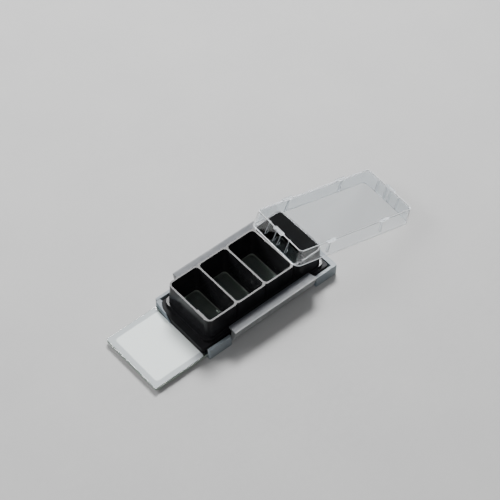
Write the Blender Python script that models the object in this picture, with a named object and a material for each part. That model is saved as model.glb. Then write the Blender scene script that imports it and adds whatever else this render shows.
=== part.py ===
"""Four-well chamber slide: a removable black chamber clipped over a labelled microscope slide.

Lengths below are in millimetres and MM turns them into metres on the way into a mesh.
x runs along the slide from its label end, y is zero on the slide's centre line and z is zero
on the table. The empty "label_end" carries that frame, and stands at a place that puts the
world origin under the middle of the whole part. Side is +1 for the +Y half and -1 for the other.
"""
import math

import bmesh
import bpy
from mathutils import Vector

MM = 0.001
BOTH_SIDES = (1, -1)

# Microscope slide, of the metric standard size, and its printed writing area
SLIDE_LENGTH = 76.0
SLIDE_WIDTH = 26.0
SLIDE_THICKNESS = 1.0
SLIDE_UNDERSIDE_Z = 1.0
SLIDE_CORNER_RADIUS = 0.7
SLIDE_TOP_Z = SLIDE_UNDERSIDE_Z + SLIDE_THICKNESS
LABEL_START_X = 0.15
LABEL_END_X = 20.3
LABEL_THICKNESS = 0.12
LABEL_GAP = 0.02

# Chamber walls: centre lines of the two short walls and the three dividers
RIM_Z = 14.0
WALL_THICKNESS = 0.62
FIRST_WALL_X = 24.45
LAST_WALL_X = 73.25
WELL_COUNT = 4
LONG_WALL_Y = 10.3
WALL_CORNER_RADIUS = 2.1
WELL_CORNER_RADIUS = 1.4
WELL_DRAFT = 0.4
OUTER_DRAFT = 0.25
NOTCH_DEPTH = 0.5
NOTCH_HALF_WIDTH = 0.9
NOTCH_STEPS = 3
RIM_STEP_DEPTH = 0.4
RIM_STEP_HEIGHT = 1.5
RIM_STEP_DROP = 0.02
RIM_STEP_Y = (-9.4, -3.9)

# Chamber foot: plinth under the walls, flange on the slide, rails for the clips
PLINTH_X = (22.6, 74.9)
PLINTH_HALF_WIDTH = 11.6
PLINTH_TOP_Z = 5.6
PLINTH_DRAFT = 0.25
PLINTH_CORNER_RADIUS = 2.5
FLANGE_X = (20.4, 75.6)
FLANGE_HALF_WIDTH = 12.1
FLANGE_TOP_Z = 4.37
FLANGE_CORNER_RADIUS = 0.9
SEAT_GAP = 0.1
RAIL_X = (32.6, 64.8)
RAIL_OUTER_Y = 12.2
RAIL_UNDERSIDE_Z = 5.3
RAIL_TOP_Z = 6.9
RAIL_LEAD_IN = 0.35

# Gasket between the chamber and the glass
GASKET_X = (23.5, 74.2)
GASKET_HALF_WIDTH = 11.2
GASKET_THICKNESS = 0.5
GASKET_GAP = 0.05
GASKET_SHOWS = 0.15
GASKET_CORNER_RADIUS = 2.0

# Tray-like base frame
FRAME_X = (21.7, 77.7)
FRAME_HALF_WIDTH = 14.15
FRAME_TOP_Z = 4.67
FRAME_INNER_Y = 13.1
FRAME_END_OVERHANG_X = 75.9
FRAME_CORNER_RADIUS = 0.35
SLIDE_CLEARANCE = 0.15
LEDGE_INNER_Y = 11.8
LEDGE_X = (25.0, 73.5)
CLIP_BAY_X = (31.0, 68.5)
BAY_RAIL_TOP_Z = 1.85
BAY_RAIL_TOP_Y = 14.0
BAY_RAIL_FOOT_Y = 12.95

# Lip of the frame around one corner of the flange, which is cut back along LIP_BACK; the two
# LIP_BURIED points lie inside the frame's wall
LIP_TIP = (19.95, 4.4)
LIP_ROOT = (21.25, 12.9)
LIP_UNDERSIDE_Z = 2.3
LIP_TOP_Z = 4.55
LIP_TIP_Z = 2.7
LIP_SLOPE_START_Y = 7.2
LIP_GAP = 0.12
LIP_BACK = ((20.45, 4.4), (20.75, 7.3), (21.05, 9.0), (21.7, 10.4), (22.5, 11.5))
LIP_BURIED = ((22.9, 11.8), (22.9, 13.5))
FLANGE_CUT_START_Y = 3.8
FLANGE_CUT_END_X = 23.2

# Side clips: cross-section points are (distance from the centre line, height)
HINGE_Y = 13.8
HINGE_Z = 2.45
HINGE_RADIUS = 0.45
HINGE_BEAD_DEG = (30, -210)
HINGE_BEAD_STEPS = 10
CLIP_X = (31.3, 66.1)
CLIP_FLARE = 0.4
CLIP_HOOK_TOP = (12.39, 8.07)
CLIP_OUTER_TOP = (16.26, 8.51)
CLIP_OUTER_FOOT = (14.87, 3.33)
CLIP_INNER_CORNER = (13.98, 7.17)
CLIP_HOOK_UNDERSIDE = (12.45, 7.5)

# Clear lid, leaning from the chamber's rim down to the table
LID_LENGTH = 53.7
LID_WIDTH = 24.2
LID_HEIGHT = 6.5
LID_WALL = 0.7
LID_SIDE_DRAFT = 0.5
LID_END_DRAFT = 0.7
LID_RIM_CORNER_RADIUS = 2.4
LID_TOP_CORNER_RADIUS = 1.6
LID_NEAR_X = 61.15
LID_NEAR_Y = 0.17
LID_YAW_DEG = -2.4
LID_CONTACT_U = 1.5
LID_REST_GAP = 0.05
LUG_LENGTH = 4.3
LUG_WIDTH = 1.1
LUG_THICKNESS = 0.6
LUG_STANDS_PROUD = 0.12
SIDE_LUG_OFFSET = 12.4
RIB_SIZE = 0.5
RIB_UNDERSIDE = 1.0
RIB_TOP_DROP = 0.5
END_RIB_OFFSETS = (1.1, 5.2)

# Whole part; how far cutting bodies run past what they cut, and joined bodies into each other
OVERALL_LENGTH = 114.69
CUT_BEYOND = 1.0
JOIN_DEPTH = 0.4
RIB_JOIN_DEPTH = 0.1
ARC_STEPS = 8


def arc(centre, radius, start_deg, end_deg, steps=ARC_STEPS):
    """Points on an arc, both ends included."""
    points = []
    for step in range(steps + 1):
        angle = math.radians(start_deg + (end_deg - start_deg) * step / steps)
        points.append((centre[0] + radius * math.cos(angle), centre[1] + radius * math.sin(angle)))
    return points


def rounded_rectangle(x_range, y_range, radius):
    """Counter-clockwise outline with four round corners."""
    x0, x1 = x_range
    y0, y1 = y_range
    return (arc((x1 - radius, y0 + radius), radius, -90, 0)
            + arc((x1 - radius, y1 - radius), radius, 0, 90)
            + arc((x0 + radius, y1 - radius), radius, 90, 180)
            + arc((x0 + radius, y0 + radius), radius, 180, 270))


def loft(*levels):
    """Closed body through (outline, z) levels, lowest first, with equal point counts."""
    bm = bmesh.new()
    rings = [[bm.verts.new((x * MM, y * MM, z * MM)) for x, y in outline] for outline, z in levels]
    for low, high in zip(rings, rings[1:]):
        for i, corner in enumerate(low):
            j = (i + 1) % len(low)
            bm.faces.new((corner, low[j], high[j], high[i]))
    bm.faces.new(reversed(rings[0]))
    bm.faces.new(rings[-1])
    return bm


def bar(section, x_range, flare=None):
    """Body along x with a (y, z) section; flare maps a section point to extra length per end."""
    bm = bmesh.new()
    rings = []
    for end, x in ((-1, x_range[0]), (1, x_range[1])):
        ring = []
        for y, z in section:
            extra = flare((y, z)) if flare else 0.0
            ring.append(bm.verts.new(((x + end * extra) * MM, y * MM, z * MM)))
        rings.append(ring)
    first, last = rings
    for i, corner in enumerate(first):
        j = (i + 1) % len(first)
        bm.faces.new((corner, first[j], last[j], last[i]))
    bm.faces.new(reversed(first))
    bm.faces.new(last)
    bmesh.ops.recalc_face_normals(bm, faces=bm.faces)
    return bm


def block(x_range, y_range, z_range):
    """Plain box between the given limits."""
    (x0, x1), (y0, y1) = x_range, y_range
    corners = [(x0, y0), (x1, y0), (x1, y1), (x0, y1)]
    return loft((corners, z_range[0]), (corners, z_range[1]))


def mirrored(y_range, side):
    """The same stretch of y on the chosen side, in rising order."""
    return tuple(sorted(side * y for y in y_range))


def material(name, colour, roughness, alpha=1.0):
    """Plain Principled material."""
    made = bpy.data.materials.new(name)
    made.use_nodes = True
    shader = made.node_tree.nodes["Principled BSDF"]
    shader.inputs["Base Color"].default_value = (*colour, 1.0)
    shader.inputs["Roughness"].default_value = roughness
    shader.inputs["Metallic"].default_value = 0.0
    shader.inputs["Alpha"].default_value = alpha
    made.diffuse_color = (*colour, alpha)
    return made


def add_object(name, bm, parent, look=None):
    """New mesh object under a parent; without a look it is a hidden modelling tool."""
    mesh = bpy.data.meshes.new(name)
    bm.to_mesh(mesh)
    bm.free()
    item = bpy.data.objects.new(name, mesh)
    bpy.context.scene.collection.objects.link(item)
    item.parent = parent
    if look:
        mesh.materials.append(look)
    else:
        item.hide_render = True
        item.display_type = "WIRE"
    return item


def add_empty(name, place, parent=None):
    """Empty at a place given in millimetres in its parent's frame."""
    empty = bpy.data.objects.new(name, None)
    bpy.context.scene.collection.objects.link(empty)
    empty.parent = parent
    empty.location = Vector(place) * MM
    return empty


def combine(target, operation, bodies, parent):
    """Join bodies to the target, or cut them out of it, with exact Booleans."""
    for number, bm in enumerate(bodies):
        tool_name = f"tool_{target.name}_{operation.lower()}_{number}"
        modifier = target.modifiers.new(tool_name, "BOOLEAN")
        modifier.operation = operation
        modifier.solver = "EXACT"
        modifier.object = add_object(tool_name, bm, parent)


def wall_centres():
    """x of the centre lines of the two short walls and the dividers between them."""
    pitch = (LAST_WALL_X - FIRST_WALL_X) / WELL_COUNT
    return [FIRST_WALL_X + pitch * number for number in range(WELL_COUNT + 1)]


def glass_slide(datum):
    """Glass plate with slightly rounded corners."""
    half = SLIDE_WIDTH / 2
    outline = rounded_rectangle((0.0, SLIDE_LENGTH), (-half, half), SLIDE_CORNER_RADIUS)
    body = loft((outline, SLIDE_UNDERSIDE_Z), (outline, SLIDE_TOP_Z))
    return add_object("glass_slide", body, datum, material("glass", (0.62, 0.78, 0.70), 0.05, 0.35))


def label_coating(datum):
    """Thin white writing area on the label end of the slide."""
    margin = LABEL_START_X
    half = SLIDE_WIDTH / 2 - margin
    outline = rounded_rectangle((margin, LABEL_END_X), (-half, half), SLIDE_CORNER_RADIUS - margin)
    underside = SLIDE_TOP_Z + LABEL_GAP
    body = loft((outline, underside), (outline, underside + LABEL_THICKNESS))
    return add_object("label_coating", body, datum, material("label_paint", (0.80, 0.84, 0.82), 0.6))


def well_outline(number, inset):
    """Outline of one well, moved inward from its size at the rim."""
    centres = wall_centres()
    half_wall = WALL_THICKNESS / 2 + inset
    x_range = (centres[number] + half_wall, centres[number + 1] - half_wall)
    half = LONG_WALL_Y - half_wall
    return rounded_rectangle(x_range, (-half, half), WELL_CORNER_RADIUS)


def well_body(number):
    """Cutter for one well, narrower towards the glass and longer than the chamber is high."""
    draft_rate = WELL_DRAFT / (RIM_Z - SLIDE_TOP_Z)
    low, high = SLIDE_TOP_Z - CUT_BEYOND, RIM_Z + CUT_BEYOND
    return loft((well_outline(number, (RIM_Z - low) * draft_rate), low),
                (well_outline(number, (RIM_Z - high) * draft_rate), high))


def notch(x, y, side):
    """Pointed groove with round shoulders, read along a long wall, at a divider."""
    radius = (NOTCH_HALF_WIDTH ** 2 + NOTCH_DEPTH ** 2) / (2 * NOTCH_DEPTH)
    sweep = math.degrees(math.asin(NOTCH_HALF_WIDTH / radius))
    centre_y = y - side * radius
    if side < 0:
        first = arc((x - NOTCH_HALF_WIDTH, centre_y), radius, -90, -90 + sweep, NOTCH_STEPS)
        second = arc((x + NOTCH_HALF_WIDTH, centre_y), radius, -90 - sweep, -90, NOTCH_STEPS)
    else:
        first = arc((x + NOTCH_HALF_WIDTH, centre_y), radius, 90, 90 + sweep, NOTCH_STEPS)
        second = arc((x - NOTCH_HALF_WIDTH, centre_y), radius, 90 - sweep, 90, NOTCH_STEPS)
    return first[:-1] + second


def wall_outline(grow):
    """Outer outline of the chamber walls, grown outward, with a notch at each divider."""
    half_wall = WALL_THICKNESS / 2 + grow
    x0, x1 = FIRST_WALL_X - half_wall, LAST_WALL_X + half_wall
    half = LONG_WALL_Y + half_wall
    radius = WALL_CORNER_RADIUS
    dividers = wall_centres()[1:-1]
    outline = []
    for x in dividers:
        outline += notch(x, -half, -1)
    outline += arc((x1 - radius, -half + radius), radius, -90, 0)
    outline += arc((x1 - radius, half - radius), radius, 0, 90)
    for x in reversed(dividers):
        outline += notch(x, half, 1)
    outline += arc((x0 + radius, half - radius), radius, 90, 180)
    outline += arc((x0 + radius, -half + radius), radius, 180, 270)
    return outline


def flange_outline():
    """Flange with one corner cut back for the lip of the frame."""
    (x0, x1), half, radius = FLANGE_X, FLANGE_HALF_WIDTH, FLANGE_CORNER_RADIUS
    outline = arc((x1 - radius, -half + radius), radius, -90, 0)
    outline += arc((x1 - radius, half - radius), radius, 0, 90)
    outline.append((FLANGE_CUT_END_X, half))
    outline += reversed(LIP_BACK)
    outline.append((x0, FLANGE_CUT_START_Y))
    outline += arc((x0 + radius, -half + radius), radius, 180, 270)
    return outline


def rail_section(side):
    """Catch rail beside the wall, with a sloped lead-in for the clip's hook."""
    points = [(LONG_WALL_Y, RAIL_UNDERSIDE_Z), (RAIL_OUTER_Y, RAIL_UNDERSIDE_Z),
              (RAIL_OUTER_Y, RAIL_TOP_Z - RAIL_LEAD_IN), (RAIL_OUTER_Y - RAIL_LEAD_IN, RAIL_TOP_Z),
              (LONG_WALL_Y, RAIL_TOP_Z)]
    return [(side * y, z) for y, z in points]


def well_chamber(datum):
    """Black moulding: flange, plinth and drafted walls around four open-bottomed wells."""
    flange_z = SLIDE_TOP_Z + SEAT_GAP
    flange = loft((flange_outline(), flange_z), (flange_outline(), FLANGE_TOP_Z))
    look = material("black_moulding", (0.012, 0.012, 0.014), 0.22)
    chamber = add_object("well_chamber", flange, datum, look)

    def plinth_outline(inset):
        half = PLINTH_HALF_WIDTH - inset
        x_range = (PLINTH_X[0] + inset, PLINTH_X[1] - inset)
        return rounded_rectangle(x_range, (-half, half), PLINTH_CORNER_RADIUS)

    plinth = loft((plinth_outline(0.0), FLANGE_TOP_Z - JOIN_DEPTH),
                  (plinth_outline(PLINTH_DRAFT), PLINTH_TOP_Z))
    walls = loft((wall_outline(OUTER_DRAFT), PLINTH_TOP_Z - JOIN_DEPTH), (wall_outline(0.0), RIM_Z))
    rails = [bar(rail_section(side), RAIL_X) for side in BOTH_SIDES]
    combine(chamber, "UNION", [plinth, walls, *rails], datum)

    recess_half = GASKET_HALF_WIDTH + SEAT_GAP
    recess_outline = rounded_rectangle((GASKET_X[0] - SEAT_GAP, GASKET_X[1] + SEAT_GAP),
                                       (-recess_half, recess_half), GASKET_CORNER_RADIUS)
    recess_top = SLIDE_TOP_Z + GASKET_THICKNESS + 2 * GASKET_GAP
    recess = loft((recess_outline, SLIDE_TOP_Z - CUT_BEYOND), (recess_outline, recess_top))
    combine(chamber, "DIFFERENCE", [recess] + [well_body(number) for number in range(WELL_COUNT)], datum)

    inner_face = FIRST_WALL_X + WALL_THICKNESS / 2
    step_z = (RIM_Z - RIM_STEP_HEIGHT, RIM_Z - RIM_STEP_DROP)
    step = block((FIRST_WALL_X, inner_face + RIM_STEP_DEPTH), RIM_STEP_Y, step_z)
    combine(chamber, "UNION", [step], datum)
    return chamber


def gasket(datum):
    """Soft ladder with one window per well, showing a little inside each wall."""
    outline = rounded_rectangle(GASKET_X, (-GASKET_HALF_WIDTH, GASKET_HALF_WIDTH), GASKET_CORNER_RADIUS)
    low = SLIDE_TOP_Z + GASKET_GAP
    look = material("silicone", (0.30, 0.33, 0.30), 0.5)
    ladder = add_object("gasket", loft((outline, low), (outline, low + GASKET_THICKNESS)), datum, look)
    windows = []
    for number in range(WELL_COUNT):
        window = well_outline(number, WELL_DRAFT + GASKET_SHOWS)
        windows.append(loft((window, low - CUT_BEYOND), (window, low + GASKET_THICKNESS + CUT_BEYOND)))
    combine(ladder, "DIFFERENCE", windows, datum)
    return ladder


def lip_body():
    """Wedge that grows from the frame's wall across the slide and thins to a low tip."""
    back = [(x - LIP_GAP, y) for x, y in LIP_BACK]
    (tip_x, tip_y), (root_x, root_y) = LIP_TIP, LIP_ROOT
    slope_x = tip_x + (root_x - tip_x) * (LIP_SLOPE_START_Y - tip_y) / (root_y - tip_y)
    plan = [LIP_TIP, *back, *LIP_BURIED, LIP_ROOT, (slope_x, LIP_SLOPE_START_Y)]
    bm = loft((plan, LIP_UNDERSIDE_Z), (plan, LIP_TOP_Z))
    middle_z = (LIP_UNDERSIDE_Z + LIP_TOP_Z) / 2 * MM
    slope = (LIP_TOP_Z - LIP_TIP_Z) / (LIP_SLOPE_START_Y - tip_y)
    for vertex in bm.verts:
        if vertex.co.z > middle_z:
            vertex.co.z -= slope * max(0.0, LIP_SLOPE_START_Y * MM - vertex.co.y)
    bmesh.ops.triangulate(bm, faces=bm.faces)
    return bm


def clip_bay(side):
    """Cutter that lowers and undercuts the frame's wall beside a clip."""
    undercut = (BAY_RAIL_TOP_Y - BAY_RAIL_FOOT_Y) / BAY_RAIL_TOP_Z
    outside_y = FRAME_HALF_WIDTH + CUT_BEYOND
    inside_y = FRAME_INNER_Y - CUT_BEYOND
    top_z = FRAME_TOP_Z + CUT_BEYOND
    points = [(inside_y, top_z), (inside_y, BAY_RAIL_TOP_Z), (BAY_RAIL_TOP_Y, BAY_RAIL_TOP_Z),
              (BAY_RAIL_FOOT_Y - CUT_BEYOND * undercut, -CUT_BEYOND), (outside_y, -CUT_BEYOND),
              (outside_y, top_z)]
    return bar([(side * y, z) for y, z in points], CLIP_BAY_X)


def base_frame(datum):
    """Tray with ledges under the slide, an end wall over its end and a bay for each clip."""
    half = FRAME_HALF_WIDTH
    outline = rounded_rectangle(FRAME_X, (-half, half), FRAME_CORNER_RADIUS)
    look = material("milky_plastic", (0.62, 0.66, 0.70), 0.35, 0.8)
    frame = add_object("base_frame", loft((outline, 0.0), (outline, FRAME_TOP_Z)), datum, look)
    open_x = FRAME_X[0] - CUT_BEYOND
    room_half = SLIDE_WIDTH / 2 + SLIDE_CLEARANCE
    room_z = (SLIDE_UNDERSIDE_Z - SEAT_GAP, SLIDE_TOP_Z + SEAT_GAP)
    slide_room = block((open_x, SLIDE_LENGTH + SLIDE_CLEARANCE), (-room_half, room_half), room_z)
    channel = block((open_x - CUT_BEYOND, FRAME_END_OVERHANG_X), (-FRAME_INNER_Y, FRAME_INNER_Y),
                    (SLIDE_UNDERSIDE_Z, FRAME_TOP_Z + CUT_BEYOND))
    window = block(LEDGE_X, (-LEDGE_INNER_Y, LEDGE_INNER_Y), (-CUT_BEYOND, SLIDE_UNDERSIDE_Z + CUT_BEYOND))
    bays = [clip_bay(side) for side in BOTH_SIDES]
    combine(frame, "DIFFERENCE", [slide_room, channel, window, *bays], datum)
    combine(frame, "UNION", [lip_body()], datum)
    return frame


def clip_section(side):
    """Hook, leg and hinge bead, as (y, z) from the hinge axis."""
    bead = arc((HINGE_Y, HINGE_Z), HINGE_RADIUS, *HINGE_BEAD_DEG, HINGE_BEAD_STEPS)
    points = [CLIP_HOOK_TOP, CLIP_OUTER_TOP, CLIP_OUTER_FOOT, *bead, CLIP_INNER_CORNER, CLIP_HOOK_UNDERSIDE]
    return [(side * (y - HINGE_Y), z - HINGE_Z) for y, z in points]


def side_clip(name, side, look, datum):
    """Hooked clip whose origin lies on its hinge axis."""
    def flare(point):
        past_hook = abs(point[0] + side * (HINGE_Y - CLIP_HOOK_TOP[0]))
        reach = past_hook / (CLIP_OUTER_TOP[0] - CLIP_HOOK_TOP[0])
        return CLIP_FLARE * min(1.0, reach)

    middle = sum(CLIP_X) / 2
    axis = add_empty(f"{name}_hinge", (middle, side * HINGE_Y, HINGE_Z), datum)
    half_length = (CLIP_X[1] - CLIP_X[0]) / 2
    return add_object(name, bar(clip_section(side), (-half_length, half_length), flare), axis, look)


def lid_outline(side_inset, end_inset, radius):
    """Lid's plan outline, moved inward; u runs away from the chamber."""
    half = LID_WIDTH / 2 - side_inset
    return rounded_rectangle((end_inset, LID_LENGTH - end_inset), (-half, half), radius)


def lid_walls(height, inset):
    """Level of the drafted walls at a height, moved inward: outline with sharper corners higher up."""
    rise = height / LID_HEIGHT
    radius = LID_RIM_CORNER_RADIUS + (LID_TOP_CORNER_RADIUS - LID_RIM_CORNER_RADIUS) * rise - inset
    return lid_outline(inset + LID_SIDE_DRAFT * rise, inset + LID_END_DRAFT * rise, radius), height


def lid_details():
    """Lugs on the top edges, flush with the lower edge, and ribs inside the walls below them."""
    bodies = []
    middle_u = LID_LENGTH / 2
    half_width = LID_WIDTH / 2
    half_lug = LUG_LENGTH / 2
    half_rib = RIB_SIZE / 2
    lug_z = (LID_HEIGHT + LUG_STANDS_PROUD - LUG_THICKNESS, LID_HEIGHT + LUG_STANDS_PROUD)
    rib_z = (RIB_UNDERSIDE, LID_HEIGHT - RIB_TOP_DROP)
    face = LID_WALL - RIB_JOIN_DEPTH
    for side in BOTH_SIDES:
        for offset in (-SIDE_LUG_OFFSET, SIDE_LUG_OFFSET):
            u = middle_u + offset
            lug_y = mirrored((half_width - LUG_WIDTH, half_width), side)
            bodies.append(block((u - half_lug, u + half_lug), lug_y, lug_z))
            rib_y = mirrored((half_width - face - RIB_SIZE - LID_SIDE_DRAFT, half_width - face), side)
            bodies.append(block((u - half_rib, u + half_rib), rib_y, rib_z))
    for end in BOTH_SIDES:
        def from_end(near, far):
            return tuple(sorted(middle_u + end * (middle_u - distance) for distance in (near, far)))

        bodies.append(block(from_end(0.0, LUG_WIDTH + LID_END_DRAFT / 2), (-half_lug, half_lug), lug_z))
        for offset in END_RIB_OFFSETS:
            for side in BOTH_SIDES:
                rib_y = mirrored((offset - half_rib, offset + half_rib), side)
                bodies.append(block(from_end(face, face + RIB_SIZE + LID_END_DRAFT), rib_y, rib_z))
    return bodies


def lid(datum):
    """Clear shell with drafted walls, resting on the rim at one end and the table at the other."""
    slope = math.asin((RIM_Z + LID_REST_GAP) / (LID_LENGTH - LID_CONTACT_U))
    near_z = LID_LENGTH * math.sin(slope)
    look = material("clear_plastic", (0.90, 0.93, 0.96), 0.03, 0.3)
    shell = add_object("lid", loft(lid_walls(0.0, 0.0), lid_walls(LID_HEIGHT, 0.0)), datum, look)
    shell.location = Vector((LID_NEAR_X, LID_NEAR_Y, near_z)) * MM
    shell.rotation_euler = (0.0, slope, math.radians(LID_YAW_DEG))
    cavity = loft(lid_walls(-CUT_BEYOND, LID_WALL), lid_walls(LID_HEIGHT - LID_WALL, LID_WALL))
    combine(shell, "DIFFERENCE", [cavity], shell)
    combine(shell, "UNION", lid_details(), shell)
    return shell


def main():
    for old in list(bpy.data.objects):
        bpy.data.objects.remove(old, do_unlink=True)
    datum = add_empty("label_end", (-OVERALL_LENGTH / 2, 0.0, 0.0))
    glass_slide(datum)
    label_coating(datum)
    gasket(datum)
    well_chamber(datum)
    base_frame(datum)
    clip_look = material("clip_plastic", (0.72, 0.76, 0.80), 0.3, 0.8)
    side_clip("side_clip_left", 1, clip_look, datum)
    side_clip("side_clip_right", -1, clip_look, datum)
    lid(datum)


main()
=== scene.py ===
"""Looks of the four-well chamber slide: fine edges, procedural plastics and glass, a pale table.

Every length below is in millimetres in the part's own frame; MM turns it into metres.
"""
import math

import bmesh
import bpy
from mathutils import Matrix, Vector


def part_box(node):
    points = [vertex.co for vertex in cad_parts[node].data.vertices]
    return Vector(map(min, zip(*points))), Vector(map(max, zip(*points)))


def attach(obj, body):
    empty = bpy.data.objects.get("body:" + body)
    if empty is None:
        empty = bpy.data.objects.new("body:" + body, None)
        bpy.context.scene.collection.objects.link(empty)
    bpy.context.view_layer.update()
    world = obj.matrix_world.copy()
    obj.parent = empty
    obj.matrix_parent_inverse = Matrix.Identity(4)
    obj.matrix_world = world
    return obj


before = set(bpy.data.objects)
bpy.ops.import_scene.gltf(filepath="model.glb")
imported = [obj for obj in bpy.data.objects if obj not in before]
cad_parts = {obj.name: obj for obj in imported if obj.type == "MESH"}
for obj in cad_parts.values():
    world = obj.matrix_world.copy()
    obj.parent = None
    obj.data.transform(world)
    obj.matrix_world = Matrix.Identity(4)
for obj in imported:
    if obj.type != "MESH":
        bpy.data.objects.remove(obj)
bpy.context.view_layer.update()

MM = 0.001

# Camera: where it looks, from which side, and the lens
CAMERA_TARGET = (4.523, 12.414, 0.0)
CAMERA_AZIMUTH = -41.652
CAMERA_ELEVATION = 50.94
CAMERA_ROLL = 1.226
CAMERA_DISTANCE = 630.876
CAMERA_LENS = 132.41
CAMERA_SENSOR = 36.0

# Slide's half width, and the greyer border of its writing area
SLIDE_HALF_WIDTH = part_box("glass_slide")[1][1] / MM
LABEL_BORDER = 2.0

# Height on the chamber where its textured foot ends, and the height over which it fades out
FOOT_TEXTURE_TOP_Z = 4.4
FOOT_TEXTURE_FADE = 0.2

# Lid in its own frame: u from the end on the chamber, v across, w up from the lower edge.
# LID_REST_U is where it rests on the chamber's rim, LID_REST_Z above the table.
LABEL_END_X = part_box("glass_slide")[0][0] / MM
LID_NEAR = (LABEL_END_X + 61.15, 0.17)
LID_LENGTH = 53.7
LID_WIDTH = 24.2
LID_HEIGHT = 6.5
LID_YAW = -2.4
LID_REST_Z = 14.05
LID_REST_U = 1.5
LID_SLOPE = math.degrees(math.asin(LID_REST_Z / (LID_LENGTH - LID_REST_U)))
LUG_LENGTH = 4.3
LUG_WIDTH = 1.1
LUG_END_WIDTH = 1.45
LUG_THICKNESS = 0.6
LUG_STANDS_PROUD = 0.12
SIDE_LUG_OFFSET = 12.4
FROST_THICKNESS = 0.03
LID_WALL = 0.7
LID_SIDE_DRAFT = 0.5
LID_END_DRAFT = 0.7
LID_RIM_CORNER_RADIUS = 2.25
LID_TOP_CORNER_RADIUS = 1.5
RIB_BOTTOM = 1.0
RIB_TOP_DROP = 0.5
RIB_PLACES = (-5.2, -1.1, 1.1, 5.2)
# Whitish tubes that paint highlights along the lid's edges and ribs: their radius, and how far they sink
# into the edge as a share of it
GLINT_RADIUS = 0.15
GLINT_SINK = 0.6
CORNER_STEPS = 8

# Top face of each clip: (distance from the centre line, height) of its inner and outer edges
CLIP_TOP = ((12.39, 8.07), (16.26, 8.51))

# Film hinge of each clip: (distance from the centre line, height) of its section, and its ends
HINGE_WEB = ((13.4, 1.86), (13.98, 1.86), (13.94, 2.1), (13.62, 2.1))
HINGE_WEB_X = (LABEL_END_X + 31.6, LABEL_END_X + 65.8)

# Rounding of edges: of the carried-over pieces, of the lug skins and of the film hinges
EDGE_SEGMENTS = 3
EDGE_ANGLE_DEG = 32.0
FLAT_ANGLE_DEG = 1.0
SKIN_EDGE_RADIUS = 0.12
WEB_EDGE_RADIUS = 0.04
EDGE_RADIUS = {
    "well_chamber": 0.25,
    "base_frame": 0.16,
    "side_clip_left": 0.2,
    "side_clip_right": 0.2,
    "glass_slide": 0.06,
    "label_coating": 0.03,
    "gasket": 0.1,
    "lid": 0.1,
}

# Table: half its size in metres, and how far it lies below the part
TABLE_HALF_SIZE = 3.0
TABLE_DROP = 0.02


# ---------------------------------------------------------------- materials

class Shader:
    """A Principled material and short ways to add procedural detail to it."""

    def __init__(self, name, **constants):
        self.material = bpy.data.materials.new(name)
        self.material.use_nodes = True
        self.nodes = self.material.node_tree.nodes
        self.links = self.material.node_tree.links
        self.principled = self.nodes["Principled BSDF"]
        self.coordinates = self.nodes.new("ShaderNodeTexCoord").outputs["Object"]
        for socket, value in constants.items():
            self.principled.inputs[socket.replace("_", " ")].default_value = value

    def stretched(self, scale):
        """Object coordinates scaled along x, y and z."""
        mapping = self.nodes.new("ShaderNodeMapping")
        mapping.inputs["Scale"].default_value = scale
        self.links.new(self.coordinates, mapping.inputs["Vector"])
        return mapping.outputs["Vector"]

    def noise(self, scale, detail=3.0, roughness=0.55, stretch=None):
        """Noise pattern; scale is in features per metre."""
        texture = self.nodes.new("ShaderNodeTexNoise")
        texture.inputs["Scale"].default_value = scale
        texture.inputs["Detail"].default_value = detail
        texture.inputs["Roughness"].default_value = roughness
        vector = self.stretched(stretch) if stretch else self.coordinates
        self.links.new(vector, texture.inputs["Vector"])
        return texture.outputs["Fac"]

    def ramp(self, fac, stops):
        """Colour ramp through (position, colour) stops."""
        node = self.nodes.new("ShaderNodeValToRGB")
        elements = node.color_ramp.elements
        while len(elements) < len(stops):
            elements.new(0.5)
        for element, (position, colour) in zip(elements, stops):
            element.position = position
            element.color = (*colour, 1.0)
        self.links.new(fac, node.inputs["Fac"])
        return node.outputs["Color"]

    def span(self, fac, low, high, source=(0.3, 0.7)):
        """Maps a pattern onto the stretch from low to high."""
        node = self.nodes.new("ShaderNodeMapRange")
        node.inputs["From Min"].default_value = source[0]
        node.inputs["From Max"].default_value = source[1]
        node.inputs["To Min"].default_value = low
        node.inputs["To Max"].default_value = high
        self.links.new(fac, node.inputs["Value"])
        return node.outputs["Result"]

    def math(self, operation, *values):
        """Result of a math operation on patterns and numbers."""
        node = self.nodes.new("ShaderNodeMath")
        node.operation = operation
        for socket, value in zip(node.inputs, values):
            if isinstance(value, bpy.types.NodeSocket):
                self.links.new(value, socket)
            else:
                socket.default_value = value
        return node.outputs["Value"]

    def bump(self, height, distance, strength=1.0):
        """Surface relief; distance is in metres."""
        node = self.nodes.new("ShaderNodeBump")
        node.inputs["Strength"].default_value = strength
        node.inputs["Distance"].default_value = distance
        self.links.new(height, node.inputs["Height"])
        self.links.new(node.outputs["Normal"], self.principled.inputs["Normal"])

    def feed(self, socket, output):
        """Drives one Principled input from a pattern."""
        self.links.new(output, self.principled.inputs[socket])


def clear_plastic():
    """Clear polystyrene with faint flow lines and handling haze."""
    look = Shader("clear_plastic", Base_Color=(0.90, 0.935, 0.96, 1.0), Transmission_Weight=1.0, IOR=1.53,
                  Specular_IOR_Level=0.22)
    look.feed("Roughness", look.span(look.noise(420.0), 0.0, 0.02))
    look.bump(look.noise(60.0, 1.0), 0.000004, 0.05)
    return look.material


def frosted_plastic_and_glint(name, clarity):
    """Whitish polystyrene: the etched surface of the lugs, and painted highlights along the lid's rounded
    edges and ribs.
    """
    look = Shader(name, IOR=1.5, Transmission_Weight=clarity)
    # whitish colours: etched frosting on the lugs, and painted highlight on the lid's edges and ribs
    whites = [(0.3, (0.86, 0.89, 0.92)), (0.7, (0.96, 0.98, 1.0))]
    look.feed("Base Color", look.ramp(look.noise(900.0), whites))
    look.feed("Roughness", look.span(look.noise(3000.0), 0.22, 0.36))
    look.bump(look.noise(6000.0), 0.00001, 0.4)
    return look.material


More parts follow.
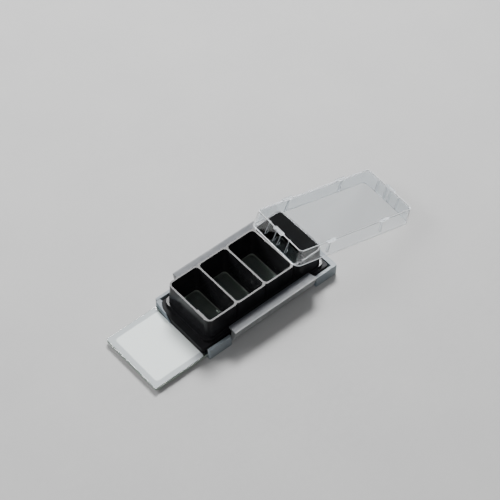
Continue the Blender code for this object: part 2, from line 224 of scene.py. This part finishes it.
def black_plastic():
    """Black polystyrene: polished walls above a sand-textured foot, with an uneven moulded skin."""
    look = Shader("black_plastic", IOR=1.55, Specular_IOR_Level=0.07)
    blacks = [(0.3, (0.012, 0.012, 0.013)), (0.7, (0.018, 0.018, 0.02))]
    look.feed("Base Color", look.ramp(look.noise(260.0), blacks))
    split = look.nodes.new("ShaderNodeSeparateXYZ")
    look.links.new(look.coordinates, split.inputs["Vector"])
    fade = (FOOT_TEXTURE_TOP_Z * MM, (FOOT_TEXTURE_TOP_Z + FOOT_TEXTURE_FADE) * MM)
    texture = look.span(split.outputs["Z"], 0.42, 0.0, fade)
    polish = look.span(look.noise(900.0, 4.0), 0.10, 0.17)
    look.feed("Roughness", look.math("ADD", texture, polish))
    look.bump(look.noise(2600.0, 2.0), 0.000008, 0.3)
    return look.material


def milky_plastic(name, shaded_colour, unshaded_colour, painted_shade_pattern):
    """Natural polypropylene: cloudy and waxy, with painted shade: darker and bluer where the dark chamber
    shows through it.
    """
    look = Shader(name, IOR=1.49, Specular_IOR_Level=0.25, Transmission_Weight=0.12, Subsurface_Weight=0.5,
                  Subsurface_Scale=0.001, Subsurface_Radius=(1.0, 1.0, 1.0))
    streaks = look.span(look.noise(220.0, 5.0, 0.65, stretch=(0.3, 1.6, 1.6)), -0.25, 0.3)
    shade = look.math("ADD", painted_shade_pattern(look), streaks)
    # painted shade: the darker, bluer colour goes where the dark chamber shows through the plastic
    look.feed("Base Color", look.ramp(shade, [(0.0, shaded_colour), (1.0, unshaded_colour)]))
    look.feed("Roughness", look.span(look.noise(500.0, 3.0), 0.4, 0.5))
    look.bump(look.noise(700.0, 2.0), 0.000003, 0.2)
    return look.material


def frame_painted_shade(look):
    """Painted shade pattern: 0 near the chamber, where the dark chamber shows through, to 1 in the frame's
    outer walls.
    """
    split = look.nodes.new("ShaderNodeSeparateXYZ")
    look.links.new(look.coordinates, split.inputs["Vector"])
    return look.span(look.math("ABSOLUTE", split.outputs["Y"]), 0.0, 0.85, (12.0 * MM, 14.3 * MM))


def clip_painted_shade(look):
    """Painted shade pattern: 0 on a clip's top, where the dark foot of the chamber shows through, and 1 on
    its leg.
    """
    split = look.nodes.new("ShaderNodeSeparateXYZ")
    look.links.new(look.coordinates, split.inputs["Vector"])
    outward = look.math("ABSOLUTE", split.outputs["Y"])
    (inner_y, inner_z), (outer_y, outer_z) = CLIP_TOP
    slope = (outer_z - inner_z) / (outer_y - inner_y)
    top = look.math("MULTIPLY_ADD", outward, slope, (inner_z - inner_y * slope) * MM)
    below = look.span(look.math("SUBTRACT", top, split.outputs["Z"]), 0.0, 0.9, (0.1 * MM, 0.4 * MM))
    edge = look.span(outward, 0.0, 0.9, ((outer_y - 0.7) * MM, outer_y * MM))
    return look.math("MAXIMUM", below, edge)


def slide_glass():
    """Soda-lime glass, clear through its faces and green in its ground edges."""
    look = Shader("slide_glass", IOR=1.52)
    geometry = look.nodes.new("ShaderNodeNewGeometry")
    split = look.nodes.new("ShaderNodeSeparateXYZ")
    look.links.new(geometry.outputs["Normal"], split.inputs["Vector"])
    upright = look.math("ABSOLUTE", split.outputs["Z"])
    look.feed("Base Color", look.ramp(upright, [(0.35, (0.56, 0.66, 0.58)), (0.8, (0.62, 0.68, 0.65))]))
    look.feed("Transmission Weight", look.span(upright, 0.45, 1.0, (0.3, 0.9)))
    look.feed("Roughness", look.span(upright, 0.32, 0.01, (0.3, 0.9)))
    look.bump(look.noise(3000.0, 2.0), 0.00001, 0.15)
    return look.material


def label_paint():
    """Baked white writing area with a fine tooth, greyer in a band along the slide's end and sides."""
    look = Shader("label_paint", Specular_IOR_Level=0.35, Sheen_Weight=0.08)
    split = look.nodes.new("ShaderNodeSeparateXYZ")
    look.links.new(look.coordinates, split.inputs["Vector"])
    from_end = look.math("SUBTRACT", split.outputs["X"], LABEL_END_X * MM)
    from_side = look.math("SUBTRACT", SLIDE_HALF_WIDTH * MM, look.math("ABSOLUTE", split.outputs["Y"]))
    inside = look.math("SMOOTH_MIN", from_end, from_side, LABEL_BORDER * MM)
    wavy = look.math("MULTIPLY_ADD", look.noise(180.0), 0.4 * MM, inside)
    full = look.span(wavy, 0.0, 1.0, (LABEL_BORDER * MM, (LABEL_BORDER + 0.5) * MM))
    look.feed("Base Color", look.ramp(full, [(0.0, (0.47, 0.51, 0.525)), (1.0, (0.86, 0.925, 0.91))]))
    look.feed("Roughness", look.span(look.noise(5200.0, 3.0), 0.5, 0.72))
    look.bump(look.noise(7600.0, 3.0), 0.00003, 0.4)
    return look.material


def silicone():
    """Soft grey-green gasket."""
    look = Shader("silicone", Subsurface_Weight=0.3, Subsurface_Scale=0.0008,
                  Subsurface_Radius=(1.0, 1.0, 1.0))
    greens = [(0.3, (0.24, 0.27, 0.24)), (0.7, (0.30, 0.33, 0.29))]
    look.feed("Base Color", look.ramp(look.noise(600.0), greens))
    look.feed("Roughness", look.span(look.noise(1500.0), 0.4, 0.55))
    look.bump(look.noise(4200.0), 0.00002, 0.3)
    return look.material


def table_top():
    """Pale, matt table with a barely visible grain."""
    look = Shader("table_top", Specular_IOR_Level=0.25)
    greys = [(0.3, (0.50, 0.50, 0.50)), (0.7, (0.53, 0.53, 0.525))]
    look.feed("Base Color", look.ramp(look.noise(30.0, 5.0), greys))
    look.feed("Roughness", look.span(look.noise(500.0), 0.55, 0.7))
    look.bump(look.noise(1400.0, 4.0), 0.00008, 0.25)
    return look.material


# ---------------------------------------------------------------- carried-over pieces

def flatten_shading(item):
    """Lets large flat faces set the shading of the small ones that round their edges."""
    shading = item.modifiers.new("flat_shading", "WEIGHTED_NORMAL")
    shading.mode = "FACE_AREA"
    shading.weight = 100
    shading.keep_sharp = True


def refine(node, look):
    """Gives a CAD node its material, merges its flat faces and rounds its edges."""
    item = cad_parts[node]
    item.data.materials.clear()
    item.data.materials.append(look)
    flats = item.modifiers.new("merge_flats", "DECIMATE")
    flats.decimate_type = "DISSOLVE"
    flats.angle_limit = math.radians(FLAT_ANGLE_DEG)
    edges = item.modifiers.new("round_edges", "BEVEL")
    edges.width = EDGE_RADIUS[node] * MM
    edges.segments = EDGE_SEGMENTS
    edges.limit_method = "ANGLE"
    edges.angle_limit = math.radians(EDGE_ANGLE_DEG)
    edges.use_clamp_overlap = True
    item.data.shade_smooth()
    flatten_shading(item)


def refine_all(frame_look, clip_look):
    """Materials and edges for every carried-over node."""
    looks = {
        "well_chamber": black_plastic(),
        "base_frame": frame_look,
        "side_clip_left": clip_look,
        "side_clip_right": clip_look,
        "glass_slide": slide_glass(),
        "label_coating": label_paint(),
        "gasket": silicone(),
        "lid": clear_plastic(),
    }
    for node, look in looks.items():
        refine(node, look)


# ---------------------------------------------------------------- added pieces

def add_piece(name, bm, look, body, edge_radius):
    """Finished mesh piece, in the part's frame, that rides on a CAD body."""
    bmesh.ops.recalc_face_normals(bm, faces=bm.faces)
    mesh = bpy.data.meshes.new(name)
    bm.to_mesh(mesh)
    bm.free()
    mesh.materials.append(look)
    mesh.shade_smooth()
    item = bpy.data.objects.new(name, mesh)
    bpy.context.scene.collection.objects.link(item)
    edges = item.modifiers.new("round_edges", "BEVEL")
    edges.width = edge_radius * MM
    edges.segments = EDGE_SEGMENTS
    edges.limit_method = "ANGLE"
    flatten_shading(item)
    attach(item, body)
    return item


def lid_frame():
    """Matrix from the lid's own frame to the part's frame, both in metres."""
    slope = math.radians(LID_SLOPE)
    near = Vector((*LID_NEAR, LID_LENGTH * math.sin(slope))) * MM
    turn = Matrix.Rotation(math.radians(LID_YAW), 4, "Z")
    return Matrix.Translation(near) @ turn @ Matrix.Rotation(slope, 4, "Y")


def lug_skin(u_range, v_range):
    """Closed skin a hair outside one lug of the lid."""
    bm = bmesh.new()
    top = LID_HEIGHT + LUG_STANDS_PROUD
    low = (u_range[0], v_range[0], top - LUG_THICKNESS)
    high = (u_range[1], v_range[1], top)
    centre = [(a + b) / 2 * MM for a, b in zip(low, high)]
    size = [(b - a + 2 * FROST_THICKNESS) * MM for a, b in zip(low, high)]
    bmesh.ops.create_cube(bm, size=1.0, matrix=Matrix.LocRotScale(Vector(centre), None, Vector(size)))
    bm.transform(lid_frame())
    return bm


def add_lug_skins():
    """Matt, etched surface of the six lugs along the lid's top edges."""
    look = frosted_plastic_and_glint("frosted_plastic_and_glint", 0.88)
    middle = LID_LENGTH / 2
    half_width = LID_WIDTH / 2
    half_lug = LUG_LENGTH / 2
    places = {}
    for side_name, side in (("left", 1), ("right", -1)):
        v_range = sorted((side * half_width, side * (half_width - LUG_WIDTH)))
        for end_name, offset in (("near", -SIDE_LUG_OFFSET), ("far", SIDE_LUG_OFFSET)):
            u_range = (middle + offset - half_lug, middle + offset + half_lug)
            places[f"lug_{side_name}_{end_name}"] = (u_range, v_range)
    places["lug_near_end"] = ((0.0, LUG_END_WIDTH), (-half_lug, half_lug))
    places["lug_far_end"] = ((LID_LENGTH - LUG_END_WIDTH, LID_LENGTH), (-half_lug, half_lug))
    skins = [add_piece(name, lug_skin(*ranges), look, "lid", SKIN_EDGE_RADIUS)
             for name, ranges in places.items()]
    return skins


def glint_tube(name, points, look, closed):
    """Thin round whitish tube through points of the lid's own frame, a painted highlight."""
    curve = bpy.data.curves.new(name, "CURVE")
    curve.dimensions = "3D"
    curve.bevel_depth = GLINT_RADIUS * MM
    curve.bevel_resolution = 2
    curve.use_fill_caps = True
    curve.materials.append(look)
    spline = curve.splines.new("POLY")
    spline.points.add(len(points) - 1)
    spline.use_cyclic_u = closed
    frame_of_lid = lid_frame()
    for target, point in zip(spline.points, points):
        target.co = (*(frame_of_lid @ (Vector(point) * MM)), 1.0)
    item = bpy.data.objects.new(name, curve)
    bpy.context.scene.collection.objects.link(item)
    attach(item, "lid")
    return item


def lid_loop(height, end_inset, side_inset, radius):
    """Round-cornered loop of points around the lid at a height."""
    half_u = LID_LENGTH / 2 - end_inset - radius
    half_v = LID_WIDTH / 2 - side_inset - radius
    points = []
    for quarter, (sign_u, sign_v) in enumerate(((1, 1), (-1, 1), (-1, -1), (1, -1))):
        for step in range(CORNER_STEPS + 1):
            angle = math.radians(90.0 * (quarter + step / CORNER_STEPS))
            points.append((LID_LENGTH / 2 + sign_u * half_u + radius * math.cos(angle),
                           sign_v * half_v + radius * math.sin(angle), height))
    return points


def add_lid_glints():
    """Painted highlights: whitish tubes along the lid's rounded edges and ribs, standing in for the light
    those gather.
    """
    look = frosted_plastic_and_glint("painted_edge_glint", 0.35)
    inset = GLINT_RADIUS * GLINT_SINK
    top = LID_HEIGHT - inset
    top_edge = lid_loop(top, LID_END_DRAFT + inset, LID_SIDE_DRAFT + inset, LID_TOP_CORNER_RADIUS)
    rim_edge = lid_loop(GLINT_RADIUS, inset, inset, LID_RIM_CORNER_RADIUS)
    # painted highlights along the lid's top edge and lower rim
    glints = [glint_tube("lid_top_edge_glint", top_edge, look, True), glint_tube("lid_rim_edge_glint", rim_edge, look, True)]
    middle = LID_LENGTH / 2
    rib_heights = (RIB_BOTTOM, LID_HEIGHT - RIB_TOP_DROP)
    # painted highlights down the ribs of the ends and sides
    for end_name, end in (("near", -1), ("far", 1)):
        for number, v in enumerate(RIB_PLACES):
            places = [(middle + end * (middle - LID_WALL - LID_END_DRAFT * w / LID_HEIGHT), v, w)
                      for w in rib_heights]
            glints.append(glint_tube(f"rib_{end_name}_end_{number + 1}", places, look, False))
        for side_name, side in (("left", 1), ("right", -1)):
            places = [(middle + end * SIDE_LUG_OFFSET,
                       side * (LID_WIDTH / 2 - LID_WALL - LID_SIDE_DRAFT * w / LID_HEIGHT), w)
                      for w in rib_heights]
            glints.append(glint_tube(f"rib_{side_name}_{end_name}", places, look, False))
    return glints


def add_hinge_webs(look):
    """Moulded film between the frame's low rail and the bead of each clip."""
    for side_name, side in (("left", 1), ("right", -1)):
        bm = bmesh.new()
        section = [bm.verts.new((HINGE_WEB_X[0] * MM, side * y * MM, z * MM)) for y, z in HINGE_WEB]
        face = bm.faces.new(section)
        grown = bmesh.ops.extrude_face_region(bm, geom=[face])["geom"]
        far_end = [part for part in grown if isinstance(part, bmesh.types.BMVert)]
        bmesh.ops.translate(bm, verts=far_end, vec=((HINGE_WEB_X[1] - HINGE_WEB_X[0]) * MM, 0.0, 0.0))
        web = add_piece(f"film_hinge_{side_name}", bm, look, "frame", WEB_EDGE_RADIUS)


# ---------------------------------------------------------------- stage

def add_floor():
    """Large pale table top just under the part."""
    bm = bmesh.new()
    bmesh.ops.create_grid(bm, x_segments=2, y_segments=2, size=TABLE_HALF_SIZE)
    mesh = bpy.data.meshes.new("table")
    bm.to_mesh(mesh)
    bm.free()
    mesh.materials.append(table_top())
    table = bpy.data.objects.new("table", mesh)
    bpy.context.scene.collection.objects.link(table)
    table.location.z = -TABLE_DROP * MM


def add_area_light(name, place, size, power, target=(0.0, 0.0, 0.0)):
    """Soft rectangular light aimed at a point; places are in millimetres."""
    data = bpy.data.lights.new(name, "AREA")
    data.shape = "RECTANGLE"
    data.size = size[0] * MM
    data.size_y = size[1] * MM
    data.energy = power
    light = bpy.data.objects.new(name, data)
    bpy.context.scene.collection.objects.link(light)
    light.location = Vector(place) * MM
    light.rotation_euler = (Vector(target) - Vector(place)).to_track_quat("-Z", "Y").to_euler()
    return light


def pass_through(light, clear_pieces):
    """Lets a light reach the table through clear pieces, which then don't dim it as opaque ones do."""
    passed = bpy.data.collections.new("passed_by_" + light.name)
    for item in clear_pieces:
        passed.objects.link(item)
        item.visible_diffuse = False
    for entry in passed.collection_objects:
        entry.light_linking.link_state = "EXCLUDE"
    light.light_linking.blocker_collection = passed


def add_lights(clear_pieces):
    """Soft key where upward faces mirror it to the camera, a left side light and dim surroundings."""
    pass_through(add_area_light("key", (310.0, 350.0, 580.0), (230.0, 230.0), 9.0), clear_pieces)
    add_area_light("left", (-450.0, 600.0, 500.0), (500.0, 400.0), 5.0)
    add_area_light("front", (-500.0, -450.0, 700.0), (500.0, 500.0), 1.5)
    world = bpy.data.worlds.new("surroundings")
    bpy.context.scene.world = world
    world.use_nodes = True
    background = world.node_tree.nodes["Background"]
    background.inputs["Color"].default_value = (0.95, 0.97, 1.0, 1.0)
    background.inputs["Strength"].default_value = 0.16


def add_camera():
    """Camera on its viewing direction, with its small roll."""
    azimuth = math.radians(CAMERA_AZIMUTH)
    elevation = math.radians(CAMERA_ELEVATION)
    roll = math.radians(CAMERA_ROLL)
    back = Vector((math.sin(azimuth) * math.cos(elevation), -math.cos(azimuth) * math.cos(elevation),
                   math.sin(elevation)))
    level = Vector((math.cos(azimuth), math.sin(azimuth), 0.0))
    upward = back.cross(level)
    right = level * math.cos(roll) + upward * math.sin(roll)
    up = upward * math.cos(roll) - level * math.sin(roll)
    place = (Vector(CAMERA_TARGET) + back * CAMERA_DISTANCE) * MM
    data = bpy.data.cameras.new("camera")
    data.lens = CAMERA_LENS
    data.sensor_width = CAMERA_SENSOR
    camera = bpy.data.objects.new("camera", data)
    bpy.context.scene.collection.objects.link(camera)
    turn = Matrix((right, up, back)).transposed()
    camera.matrix_world = Matrix.LocRotScale(place, turn.to_quaternion(), Vector((1.0, 1.0, 1.0)))
    bpy.context.scene.camera = camera


add_camera()
add_floor()
# Frame and clip plastics carry painted shade: darker and bluer where the dark chamber shows through them
frame_plastic = milky_plastic("frame_plastic", (0.20, 0.235, 0.265), (0.27, 0.305, 0.33), frame_painted_shade)
clip_plastic = milky_plastic("clip_plastic", (0.10, 0.11, 0.125), (0.26, 0.265, 0.27), clip_painted_shade)
refine_all(frame_plastic, clip_plastic)
add_hinge_webs(frame_plastic)
add_lights([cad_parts["lid"], *add_lug_skins(), *add_lid_glints()])
